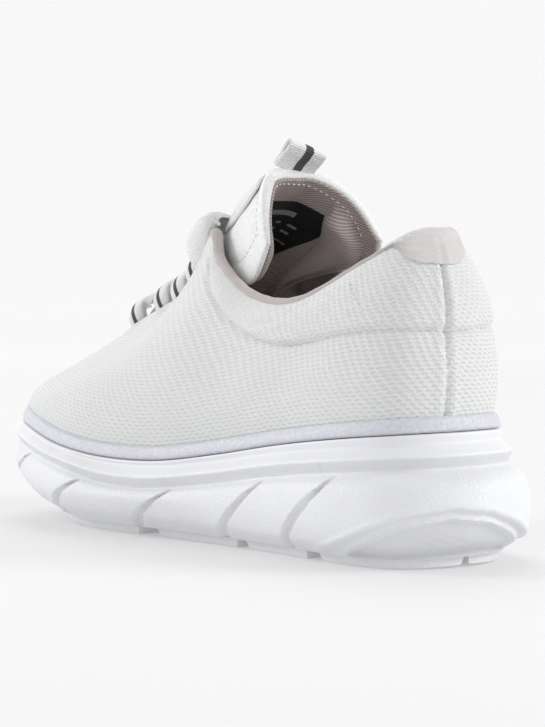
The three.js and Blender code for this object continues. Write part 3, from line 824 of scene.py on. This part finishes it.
def eye_depth(u, z):
    """The eye-shaped facet cut into the back of the heel, in two steps."""
    near = np.mod(u + AROUND / 2, AROUND) - AROUND / 2
    rim = np.interp(near, EYE_U, EYE_Z)
    slope = np.abs(np.interp(near + 0.05, EYE_U, EYE_Z) - np.interp(near - 0.05, EYE_U, EYE_Z)) / 0.1 / 25
    inside = (rim - z) / np.sqrt(1 + slope ** 2)
    band = 1.6 * smooth(inside, 0.0, 0.8) - 0.6 * hump(inside + 1.0, 1.0)
    ridge = -0.7 * hump(inside - 3.0, 0.5)
    facet = 1.7 * smooth(inside, 3.3, 4.2)
    rays = 0.25 * sum(hump((near - 0.1 - 0.25 * i) * 22 - (z - 8) * 2.2, 0.5) for i in range(3))
    return band + ridge + facet + rays * smooth(inside, 5, 7), smooth(inside, 3.5, 4.5)


MEASURED_ROW = 60
SPINE_ENDS = (-98, 100)


def add_midsole(mats):
    u = even(SEAM, SEAM + AROUND, 881)
    k, offset, z, share = sole_side(u)
    grid_u = np.broadcast_to(u[:, None], z.shape)
    crease = z[:, np.argmin(np.abs(share - POD_ROW))][:, None]
    bottom = (SOLE_BOTTOM + rocker(k[:, 0]))[:, None]
    fade_low = smooth(z - bottom, -0.2, 1.2)
    eye, facet = eye_depth(grid_u, z)
    on_pod = smooth(share, POD_ROW - 0.05, POD_ROW + 0.15)[None]
    grooves = groove_depth(grid_u, z, crease, bottom)
    away = smooth(-(np.interp(np.mod(grid_u + TOE, AROUND) - TOE, EYE_U, EYE_Z) - z), -0.5, 1.0)
    relief = on_pod * (grooves * away + eye * fade_low)
    offset = offset - relief
    out = outward(u)
    side = k[:, None, :3] + out[:, None] * offset[..., None]
    side[..., 2] = z
    hatch = smooth(share, 4.9, 5.05) * (1 - smooth(share, 5.95, 6.05))
    upper_facet = 0.65 * smooth(share, 3.9, 4.1) * (1 - smooth(share, 4.9, 5.05))
    special = np.maximum(np.broadcast_to(np.maximum(hatch, upper_facet), z.shape), facet * on_pod)
    special = np.where(share[None] < 3.9, 0.35, special)
    along = lengths_along(side, 0)[:, MEASURED_ROW, None]
    cloth = np.stack([np.broadcast_to(along, z.shape), lengths_along(side, 1), special], -1)
    x = np.clip(k[:, 0], *SPINE_ENDS)
    spine = np.stack([x, middle_y(x), 0 * x], -1)
    share_in = even(0, 1, 9)[1:, None]
    high, low = [side[:, row, None] * (1 - share_in) + spine[:, None] * share_in for row in (0, -1)]
    high[..., 2] = z[:, :1]
    low[..., 2] = SOLE_BOTTOM + rocker(low[..., 0])
    points = np.concatenate([high[:, ::-1], side, low], axis=1)
    flat = low * (1, 1, 0)
    cloth = np.concatenate([flat[:, ::-1], cloth, flat], axis=1)
    faces = grid_quads(*points.shape[:2])
    marks = cloth.reshape(-1, 3)[faces]
    points = points[:-1].reshape(-1, 3)
    add_piece("midsole_foam", points, faces % len(points), marks, mats["sole"], "shoe",
              ("midsole",), sharp=75)


PADS = {"heel": (0.12, 2.35), "waist": (2.55, 3.65), "middle": (3.8, 5.2), "ball": (5.55, 7.6)}
TOE_PAD = (7.85, 10.2)
PAD_INSET = 4.5


def pad_rim(u):
    k = keys(u)
    return k[..., :3] + outward(u) * (k[..., 12:13] - PAD_INSET)


def add_pad(name, start, end, side, mats):
    """One block of the tread, with slanted sides, rounded lower edges and wavy grooves underneath."""
    u = eased(start, end, 40)
    t = eased(0, 1, 36)
    grid_u, grid_t = np.meshgrid(u, t, indexing="ij")
    a = pad_rim(grid_u * (side or 1))
    if side:
        b = np.stack([a[..., 0], middle_y(a[..., 0]) + side, 0 * a[..., 0]], -1)
    else:
        b = pad_rim(-grid_u)
    flat = a * (1 - grid_t)[..., None] + b * grid_t[..., None]
    ground = rocker(flat[..., 0])
    flat[..., 2] = 0
    near = np.minimum(to_nearest_end(flat, 0), to_nearest_end(flat, 1))
    wave = flat[..., 0] + 1.6 * np.sin(flat[..., 1] * 0.55)
    ribs = 0.55 * smooth(np.cos(wave * 2 * np.pi / 6.5), 0.55, 0.85) * smooth(near, 1.5, 2.5)
    centre = flat.mean(axis=(0, 1))
    lean = 1 - 0.05 * (1 - smooth(near, 0, 2.0))[..., None]
    bottom = centre + (flat - centre) * lean
    bottom[..., 2] = ground + ribs + 0.7 * (1 - np.sqrt(1 - (1 - np.clip(near / 0.8, 0, 1)) ** 2))
    top = flat.copy()
    top[..., 2] = rocker(flat[..., 0]) + TREAD + 0.35
    cloth = np.stack([flat[..., 0], flat[..., 1], 0 * ground], -1)
    shell(f"{name}_rubber", bottom, top, mats["tread"], "shoe", (name,), cloth=cloth)


def add_treads(mats):
    for part, (start, end) in PADS.items():
        add_pad(f"tread_{part}_outer", start, end, 1, mats)
        add_pad(f"tread_{part}_inner", start, end, -1, mats)
    add_pad("tread_toe", *TOE_PAD, 0, mats)


# ---- inside the shoe and the collar --------------------------------------------------------

FRONT = 6.0
THROAT = 6.5


def add_inner_layers(mats):
    v = np.concatenate([even(-0.95, 0.45, 30)[:-1], even(0.45, 1.0, 50)])
    layer("collar_lining", even(-FRONT, FRONT, 261), v, lining_depth, inside_lining, mats["lining"],
          ("quarter_lining",))
    layer("forefoot_lining", even(THROAT, AROUND - THROAT, 181), even(-0.95, 0.72, 40), lining_depth,
          inside_lining, mats["lining"], ("vamp_lining",))
    under = SKIN + 1.5 * GAP
    above = lambda u, v: np.maximum(lining_depth(u, v) - 2 * GAP, under + 0.3)
    pad = layer("collar_padding", even(-5, 5, 161), eased(0.56, 0.93, 30), under, above, mats["board"],
                ("collar_foam",))


def add_sockliner(mats):
    """The insole: a cupped foam footbed with a rounded rim, under the opening."""
    u = even(0, AROUND, 265)
    t = even(0, 1, 40)
    grid_u, grid_t = np.meshgrid(u, t, indexing="ij")
    k = keys(grid_u)
    inset = inside_lining(grid_u, -1 + 0 * grid_u) + 0.4
    rim = k[..., :3] - outward(grid_u) * inset[..., None]
    x = np.clip(k[..., 0], -94, 98)
    spine = np.stack([x, middle_y(x), 0 * x], -1)
    top = rim * (1 - grid_t)[..., None] + spine * grid_t[..., None]
    base = k[..., 2] - band_depth(k[..., 0])
    middle = np.interp(x, [-94, -54, 6, 56, 98], [50, 42.8, 33.3, 35.5, 42]) - 4.8
    level = base * (1 - grid_t) + middle * grid_t
    cup = 2.2 * (1 - smooth(grid_t, 0.0, 0.35)) * heelness(k[..., 0])
    round_rim = 1.2 * (1 - np.sqrt(1 - (1 - np.clip(grid_t / 0.05, 0, 1)) ** 2))
    bottom = top.copy()
    top[..., 2] = level + 5.2 + cup - round_rim
    bottom[..., 2] = level + 1.5
    cloth = np.stack([top[..., 0], top[..., 1], 0 * level], -1)
    piece = shell("footbed", top, bottom, mats["lining"], "shoe", ("sockliner",), wrap=True,
                  cloth=cloth)


def edge_frame(u):
    """The top edge of the upper, its outward normal and the direction that leads over it."""
    edge = skin_point(u, 1 + 0 * u)
    normal = skin_normal(u, 1 + 0 * u)
    tangent = unit(edge - skin_point(u, 0.96 + 0 * u))
    return edge, normal, tangent


SIDES = ((1, "outer"), (-1, "inner"))
ROLL_ENDS = (0.9, 6.18)


def add_bindings(mats):
    """The rolled edge of the collar, one on each side, closing round its front corner."""
    for side, name in SIDES:
        u = side * even(*ROLL_ENDS, 155)
        edge, normal, tangent = edge_frame(u)
        half = (SKIN + 2 * GAP + 0.4 + LINING) / 2
        angle = np.linspace(0, 2 * np.pi, 29)[:, None]
        taper = np.sqrt(np.clip((6.19 - np.abs(u)) / 0.25, 0.05, 1))
        wave = 1 + 0.03 * np.sin(np.abs(u) * 19)
        a = (half + 0.55) * np.cos(angle) * taper * wave
        b = 2.15 * np.sin(angle) * taper * wave
        rings = edge + normal * (a - half)[..., None] + tangent * (b + 0.1)[..., None]
        shell_tube(f"collar_roll_{name}", rings, mats["binding"], "shoe",
                   (f"collar_binding_{name}",))


# The lower edge of the heel patch: stations from its middle, and the share of the way up the upper.
PATCH_W = [0, 0.45, 0.7, 0.85, 1.0, 1.15, 1.3]
PATCH_V = [0.835, 0.84, 0.875, 0.915, 0.955, 0.985, 0.995]
PATCH_THICK = 0.9


def add_heel_patch(mats):
    """The padded patch over the middle of the collar, folded down inside it."""
    w = eased(-1.3, 1.3, 60)
    u = w + SEAM
    low = np.interp(np.abs(w), PATCH_W, PATCH_V)
    share = eased(0, 1, 26)[:-1]

    def sheet(out):
        grid_u = np.broadcast_to(u[:, None], (len(u), len(share)))
        v = low[:, None] + (1 - low[:, None]) * share
        relief = knit_relief(grid_u, v) * (1 - smooth(v, 0.9, 1.0))
        outer = skin(grid_u, v, -(relief * 0.9 + 0.25 + out))
        edge, normal, tangent = edge_frame(u)
        back = (inside_lining(u, 1 + 0 * u) + 2 * GAP + out)[:, None]
        angle = even(0, np.pi, 14)[None]
        across = -(0.25 + out) + (back + 0.25 + out) * (1 - np.cos(angle)) / 2
        lift = (1.6 + out) * np.sin(angle)
        over = edge[:, None] - normal[:, None] * across[..., None] + tangent[:, None] * lift[..., None]
        v_in = even(0.99, 0.88, 8)
        grid_in = np.broadcast_to(u[:, None], (len(u), len(v_in)))
        inner = skin(grid_in, np.broadcast_to(v_in, grid_in.shape),
                     inside_lining(grid_in, v_in[None] + 0 * grid_in) + 2 * GAP + out)
        return np.concatenate([outer, over, inner], axis=1)

    middle = sheet(PATCH_THICK / 2)
    half = (PATCH_THICK / 2 - edge_drop(middle, PATCH_THICK, False))[..., None]
    normal = unit(sheet(PATCH_THICK) - sheet(0.0))
    front = middle + normal * half
    back = middle - normal * half
    shell("heel_tab_patch", front, back, mats["patch"], "shoe", ("heel_patch",))


def add_eyestays(mats):
    under, below = SKIN + 1.5 * GAP, SKIN + 1.5 * GAP + 0.9
    for name, low, high in (("outer", 7, 10), ("inner", AROUND - 10, AROUND - 7)):
        layer(f"lacing_edge_{name}", eased(low, high, 80), eased(0.82, 0.995, 20), under, below,
              mats["facing"], (f"eyestay_{name}",))


# ---- tongue --------------------------------------------------------------------------------

# In mm: how deep the tongue's wings lie under the quarters, and its shoulders' distance from their edges.
WING_DEPTH = 5.8
SHOULDER = 5
LACED_ROWS = [(8.87, 61.2, 79.6), (8.05, 43.2, 89.6), (7.36, 31, 96.8), (6.65, 19, 103.6)]
FRONT_ROWS = [
    [(81, 0, 62.6), (81, 3, 62.4), (81, 6, 61.9), (81, 9.5, 60.9), (81, 13, 59.2)],
    [(70, 0, 66.6), (70, 3, 66.4), (70, 6, 65.8), (71, 10, 64.4), (72, 14, 62.2)],
]
TOP_ROWS = [
    [(6, 0, 111.5), (5, 7, 110.8), (2, 12.5, 107.5), (-3, 16, 100), (-6, 18.5, 92)],
    [(-8, 0, 121.5), (-9, 9, 120.5), (-14, 16, 115.5), (-20, 20, 105), (-25, 20.5, 92)],
    [(-23, 0, 133), (-23.5, 8, 132.5), (-26, 14, 129.5), (-31, 19.5, 119), (-36, 22, 106)],
]


def free_row(row):
    whole = [(x, -y, z) for x, y, z in reversed(row[1:])] + row
    return [(x, y + middle_y(x), z) for x, y, z in whole]


def laced_row(u, x, z):
    """A row of the tongue between the two edges of the lacing gap, with its wings under them."""
    edge = keys(u)
    half = abs(edge[4] - middle_y(edge[3]))
    free = [(x - 1, 1 - SHOULDER / half, z - 4), (x - 0.4, 0.42, z - 0.7)]
    wing = lambda side, v, extra: tuple(skin(side * u, v, WING_DEPTH + extra))
    left = [(px, middle_y(x) - share * half, pz) for px, share, pz in free]
    right = [(px, middle_y(x) + share * half, pz) for px, share, pz in reversed(free)]
    return [wing(-1, 0.86, 0), wing(-1, 0.98, 1.2), *left, (x, middle_y(x), z), *right,
            wing(1, 0.98, 1.2), wing(1, 0.86, 0)]


TONGUE = np.array([*map(free_row, FRONT_ROWS), *(laced_row(*row) for row in LACED_ROWS),
                   *map(free_row, TOP_ROWS)], float)
LAST_ROW = 8
# The free end's inner corner spreads out wider, backwards and over the inner quarter.
TONGUE[LAST_ROW, :3] += [(-4.4, -5.4, 1.0), (-2.6, -3.4, 1), (-1.8, -2.3, -1.4)]
TONGUE[LAST_ROW - 1, :2] += [(-8.5, -7, 7), (-4, -3, 2.5)]


def along_list(t, axis_pick):
    base = np.clip(np.floor(t).astype(int), 0, LAST_ROW - 1)
    rows = [axis_pick(np.clip(base + k, 0, LAST_ROW)) for k in (-1, 0, 1, 2)]
    return through(*rows, (t - base)[..., None])


def tongue_point(r, w):
    columns = np.clip(np.floor(w).astype(int), 0, LAST_ROW - 1)
    parts = [along_list(r, lambda i, k=k: TONGUE[i, np.clip(columns + k, 0, LAST_ROW)])
             for k in (-1, 0, 1, 2)]
    return through(*parts, (w - columns)[..., None])


def tongue_normal(r, w):
    step = 0.1
    along = tongue_point(np.minimum(r + step, LAST_ROW), w) - tongue_point(np.maximum(r - step, 0), w)
    across = tongue_point(r, np.minimum(w + step, LAST_ROW)) - tongue_point(r, np.maximum(w - step, 0))
    return unit(np.cross(across, along))


def tongue_skin(r, w, depth):
    r, w = np.broadcast_arrays(np.asarray(r, float), np.asarray(w, float))
    return tongue_point(r, w) - tongue_normal(r, w) * np.broadcast_to(depth, r.shape)[..., None]


def tongue_thick(r, w):
    return 1.6 + (1 + 1.6 * smooth(r, 5, 7)) * (1 - (np.abs(w - 4) / 4) ** 2)


def tongue_relief(r, w):
    """Soft hollows of the brushed face, a rolled rim at the free end and a stitched line inside it."""
    free = smooth(r, 5.6, 6.4)
    rim = np.minimum(np.minimum(w, 8 - w), (8 - r) * 1.6)
    roll = 0.5 * hump(rim - 0.25, 0.3) - 0.35 * hump(rim - 0.75, 0.12)
    soft = 0.25 * np.sin(r * 3.1 + w) * np.sin(w * 2.3) + 0.12 * np.sin(r * 9.3) * np.sin(w * 5.7)
    return free * (roll + soft)


# Where the thick roll's middle runs: the tongue's row, and the place across it.
ROLL_ROWS = [5, 5.5, 6.1, 6.6, 7.05, 7.55]
ROLL_MIDDLE = [-0.1, 0, 0.2, 0.6, 0.95, 1.3]


def lining_rolls(r, w):
    """The padded edges of the tongue's lining: a thick one down the inner side, a thin outer one."""
    half = 0.6 - 0.25 * smooth(r, 7.2, 7.6)
    from_middle = (w - np.interp(r, ROLL_ROWS, ROLL_MIDDLE)) / half
    thick = 7.0 * arch(from_middle) * (1 - smooth(r, 7.3, 7.68)) * smooth(r, 3.6, 4.6)
    thin = 3.2 * arch((w - 7.4) / 0.5) * smooth(r, 5.2, 6) * (1 - smooth(r, 7.5, 7.8))
    return np.maximum(thick, thin)


def patch_swell(r, w):
    """The outer face of the small padded patch on the tongue, highest near its middle."""
    return -1.2 - 2.4 * np.sin(np.pi * (r - 6.1) / 1.6) ** 0.5 * np.sin(np.pi * (w - 2.6) / 3.4)


def label_print(r, w, points):
    """Plain bars where a label would be printed, and nothing that can be read."""
    bar = (abs(r - 7.0) < 0.075) & (abs(w - 3.6) < 1.1)
    ticks = (abs(np.mod(w, 0.9) - 0.45) < 0.22) & (abs(w - 3.4) < 1.4)
    lines = ticks & ((abs(r - 6.68) < 0.03) | (abs(r - 6.45) < 0.03))
    foot = (abs(r - 6.15) < 0.02) & (abs(w - 3.1) < 1.5)
    marks = 1.0 * (bar | lines | foot)
    return np.stack([lengths_along(points, 0), lengths_along(points, 1), marks], -1)


def add_tongue(mats):
    r, w = eased(0, 8, 200), eased(0, 8, 120)
    outer = layer("tongue_knit", r, w, lambda a, b: -tongue_relief(a, b), tongue_thick, mats["fleece"],
                  ("tongue",), place=tongue_skin, body="tongue")
    layer("tongue_back_lining", eased(0, 7.9, 180), eased(0.1, 7.9, 190),
          lambda a, b: tongue_thick(a, b) + 0.1, lambda a, b: tongue_thick(a, b) + 1.2 + lining_rolls(a, b),
          mats["lining"], ("tongue_lining",), place=tongue_skin, body="tongue")
    layer("inner_label", eased(5.6, 7.3, 150), eased(1.4, 6.4, 130), lambda a, b: tongue_thick(a, b) + 1.0,
          lambda a, b: tongue_thick(a, b) + 1.6, mats["label"], ("tongue_label",),
          place=tongue_skin, body="tongue", cloth=label_print)
    layer("outer_patch", eased(6.15, 7.65, 60), eased(2.7, 5.9, 60), patch_swell, -0.2, mats["patch_plate"],
          ("tongue_patch",), place=tongue_skin, body="tongue")


# ---- lace, top webbing and pull loop -------------------------------------------------------

LACE_HALF = 4.9
PATH_STEPS = 12
# Each bar's place along the lacing edge, and the middle of its arch: x and z.
BARS = [(8.87, 60.6, 83.4), (7.95, 41.2, 91.8), (7.4, 31.6, 97.2), (6.85, 22.3, 102.6)]
TOP_BAND = (6.42, 12.5, 109)
# A band's end from under the lacing edge, round and up: outwards and up from the edge, in mm.
BAR_END = [(-3.4, -4.0), (-1.8, -1.2), (0.2, 1.2), (1.3, 3.8), (0.6, 6.2), (-2.2, 7.8)]
TOP_END = [(-3.4, -6.0), (-1.4, -3.0), (1.2, 0.4), (2.6, 4.2), (2.0, 7.6), (-1.6, 9.8)]


def smooth_path(points):
    """A smooth line through a few points, with the same number of places on each stretch."""
    points = np.asarray(points, float)
    last = len(points) - 1
    t = even(0, last, last * PATH_STEPS + 1)
    base = np.minimum(t.astype(int), last - 1)
    four = [points[np.clip(base + k, 0, last)] for k in (-1, 0, 1, 2)]
    return through(*four, (t - base)[:, None])


def band_over_tongue(name, bar, half, crown, ends, forward, material, stands_for):
    """A woven band across the lacing gap: it swells over the edges and is tucked in under them."""
    edge_u, middle_x, middle_z = bar
    near, far = [skin_point(np.array(side * edge_u), np.array(1.0)) for side in (1, -1)]
    side_points = lambda edge, sign: [edge + np.array([forward * up / 9, sign * out, up]) for out, up in ends]
    middle = [np.array([middle_x, middle_y(middle_x), middle_z + 1.8])]
    path = smooth_path(side_points(near, 1) + middle + side_points(far, -1)[::-1])
    ahead = unit(np.gradient(path, axis=0))
    slope = unit(TONGUE[5, 4] - TONGUE[2, 4])
    width = np.broadcast_to(slope, path.shape)
    lift = unit(np.cross(width, ahead))
    lift = lift * np.sign(lift[len(path) // 2, 2])
    q = even(-1, 1, 37)
    bow = (crown * (np.sqrt(np.maximum(1 - 0.96 * q ** 2, 0)) - 0.2))[None, :, None]
    front = path[:, None] + width[:, None] * (q * half)[None, :, None] + lift[:, None] * bow
    from_end = np.minimum(np.arange(len(path)), np.arange(len(path))[::-1]) / PATH_STEPS
    thick = (1.1 + 3.2 * smooth(from_end, 0.5, 2.5) * (1 - smooth(from_end, 4, 5.5)))[:, None, None]
    back = path[:, None] + width[:, None] * (q * (half - 0.3))[None, :, None] + lift[:, None] * (bow - thick)
    cloth = np.stack([lengths_along(front, 0), np.broadcast_to(q * half, front.shape[:2]),
                      np.zeros(front.shape[:2])], -1)
    return shell(name, front, back, material, "shoe", stands_for, cloth=cloth)


def add_lacing(mats):
    for i, bar in enumerate(BARS):
        band_over_tongue(f"lace_bar_{i + 1}", bar, LACE_HALF, 1.5, BAR_END, -2.0, mats["lace"],
                         ("lace",))
    band_over_tongue("top_webbing", TOP_BAND, 7.6, 3.6, TOP_END, -1.0, mats["webbing"],
                     ("corner_patch_outer", "corner_patch_inner"))


LOOP_BASE = np.array([-25.5, 0, 134.6])
LOOP_LEAN = np.array([-0.74, 0, 0.673])
LOOP_SIDE = np.array([0.673, 0, 0.74])
LOOP_TILT = math.radians(17)


def add_pull_loop(mats):
    """A folded strip of ribbed webbing with a dark stripe, standing askew on the tongue's top edge."""
    half_width, height, outer, thick = 8.4, 8.2, 1.6, 1.1
    across = np.array([0, math.cos(LOOP_TILT), math.sin(LOOP_TILT)])
    t = even(-1, 1, 90)
    arc = np.pi / 2 * outer
    leg = height - outer
    foot = 4.5
    run = t * (leg + foot + arc)
    over = np.clip(run, -arc, arc) / outer
    a = outer * np.sin(over)
    down = np.maximum(np.abs(run) - arc, 0)
    b = leg + outer * np.cos(over) - down
    pinch = 1 - 0.3 * smooth(down, 2.0, leg)
    y = eased(-half_width, half_width, 44)
    normal_a, normal_b = np.sin(over), np.cos(over) * (down <= 0)

    def sheet(depth):
        grid_a = (a * pinch - normal_a * depth)[:, None] + 0 * y[None]
        grid_b = (b - normal_b * depth)[:, None] + 0 * y[None]
        droop = 0.35 * np.sin((y / half_width) * 2.2 + 0.6)[None] * smooth(b, 4, 11)[:, None]
        return (LOOP_BASE + LOOP_SIDE * (grid_a + droop)[..., None] + LOOP_LEAN * grid_b[..., None]
                + across * (y[None] + 0 * grid_a)[..., None])

    front, back = sheet(0), sheet(thick)
    drop = edge_drop(front, thick, False)[..., None]
    inward = unit(back - front)
    cloth = np.stack([lengths_along(front, 0), y[None] + 0 * drop[..., 0] + 0.6, 0 * drop[..., 0]], -1)
    shell("pull_loop_webbing", front + inward * drop, back - inward * drop, mats["loop"], "pull_loop",
          ("pull_loop",), cloth=cloth)


# ---- stitching -----------------------------------------------------------------------------

def add_stitching(mats):
    thread = mats["thread"]

    def on_upper(name, u, v, lift, pitch, length, radius):
        path = skin(u, v, -knit_relief(u, v) - lift)
        stitches(name, path, pitch, length, radius, thread, "shoe")

    def on_tongue(name, r, w, depth, pitch, length):
        stitches(name, tongue_skin(r, w, depth), pitch, length, 0.25, thread, "tongue")

    v = even(0.02, 0.83, 200)
    on_upper("back_seam_stitches", SEAM + 0 * v, v, 0.1, 2.6, 1.5, 0.28)
    for side, name in SIDES:
        u = side * even(0.5, 5.3, 300)
        on_upper(f"collar_seam_stitches_{name}", u, channel(u), 0.05, 3.0, 1.7, 0.22)
        t = even(0, 1, 30)
        on_upper(f"tack_stitches_{name}", side * (2.07 - 0.43 * t), 0.9 - 0.24 * t, 0.15, 2.3, 1.0, 0.3)
    r = np.concatenate([even(6.4, 7.55, 60), np.full(80, 7.55), even(7.55, 6.4, 60)])
    w = np.concatenate([np.full(60, 0.75), even(0.75, 7.25, 80), np.full(60, 7.25)])
    on_tongue("tongue_hem_stitches", r, w, -tongue_relief(r, w) - 0.12, 2.6, 1.6)
    w = even(0.55, 6.2, 120)
    r = np.interp(w, [0.55, 0.8, 1.2, 2.5, 4.4, 5.6], [7.4, 7.56, 7.66, 7.72, 7.78, 7.8])
    on_tongue("tongue_lining_stitches", r, w, tongue_thick(r, w) + 1.35, 2.4, 1.4)


# ---- everything ----------------------------------------------------------------------------

def make_materials():
    return {
        "knit": knit_material(),
        "lining": twill_material("collar_twill", (0.74, 0.69, 0.68), (0.58, 0.53, 0.52), 1.0, 0.25),
        "binding": twill_material("binding_twill", (0.83, 0.80, 0.795), (0.70, 0.66, 0.655), 0.8, 0.15),
        "patch": twill_material("patch_weave", (0.955, 0.94, 0.94), (0.885, 0.865, 0.865), 1.3, 0.25, True),
        "facing": twill_material("facing_tape", (0.94, 0.94, 0.95), (0.84, 0.84, 0.86), 0.9, 0.12),
        "patch_plate": twill_material("soft_patch", (0.89, 0.895, 0.90), (0.84, 0.845, 0.85), 1.2, 0.05,
                                      True),
        "fleece": fleece_material(),
        "webbing": webbing_material("top_webbing_tape", 0),
        "lace": webbing_material("flat_lace", 2.4),
        "loop": webbing_material("loop_tape", 3.8),
        "sole": foam_rubber_material("sole_foam", (0.905, 0.908, 0.92)),
        "tread": foam_rubber_material("tread_rubber", (0.89, 0.893, 0.905), 0.6),
        "leather": leather_material(),
        "board": board_material(),
        "thread": thread_material(),
        "label": label_material(),
    }


def dress_inner_nodes(mats):
    """The stiff boards inside the shoe keep their CAD shapes."""
    for node in ("strobel_board", "heel_counter", "toe_puff"):
        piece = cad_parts[node]
        piece.data.materials.clear()
        piece.data.materials.append(mats["board"])


def main():
    add_camera()
    add_studio()
    add_floor()
    mats = make_materials()
    dress_inner_nodes(mats)
    add_midsole(mats)
    add_treads(mats)
    add_foxing(mats)
    add_sockliner(mats)
    add_upper(mats)
    add_inner_layers(mats)
    add_eyestays(mats)
    add_bindings(mats)
    add_heel_patch(mats)
    add_tongue(mats)
    add_lacing(mats)
    add_pull_loop(mats)
    add_stitching(mats)


main()
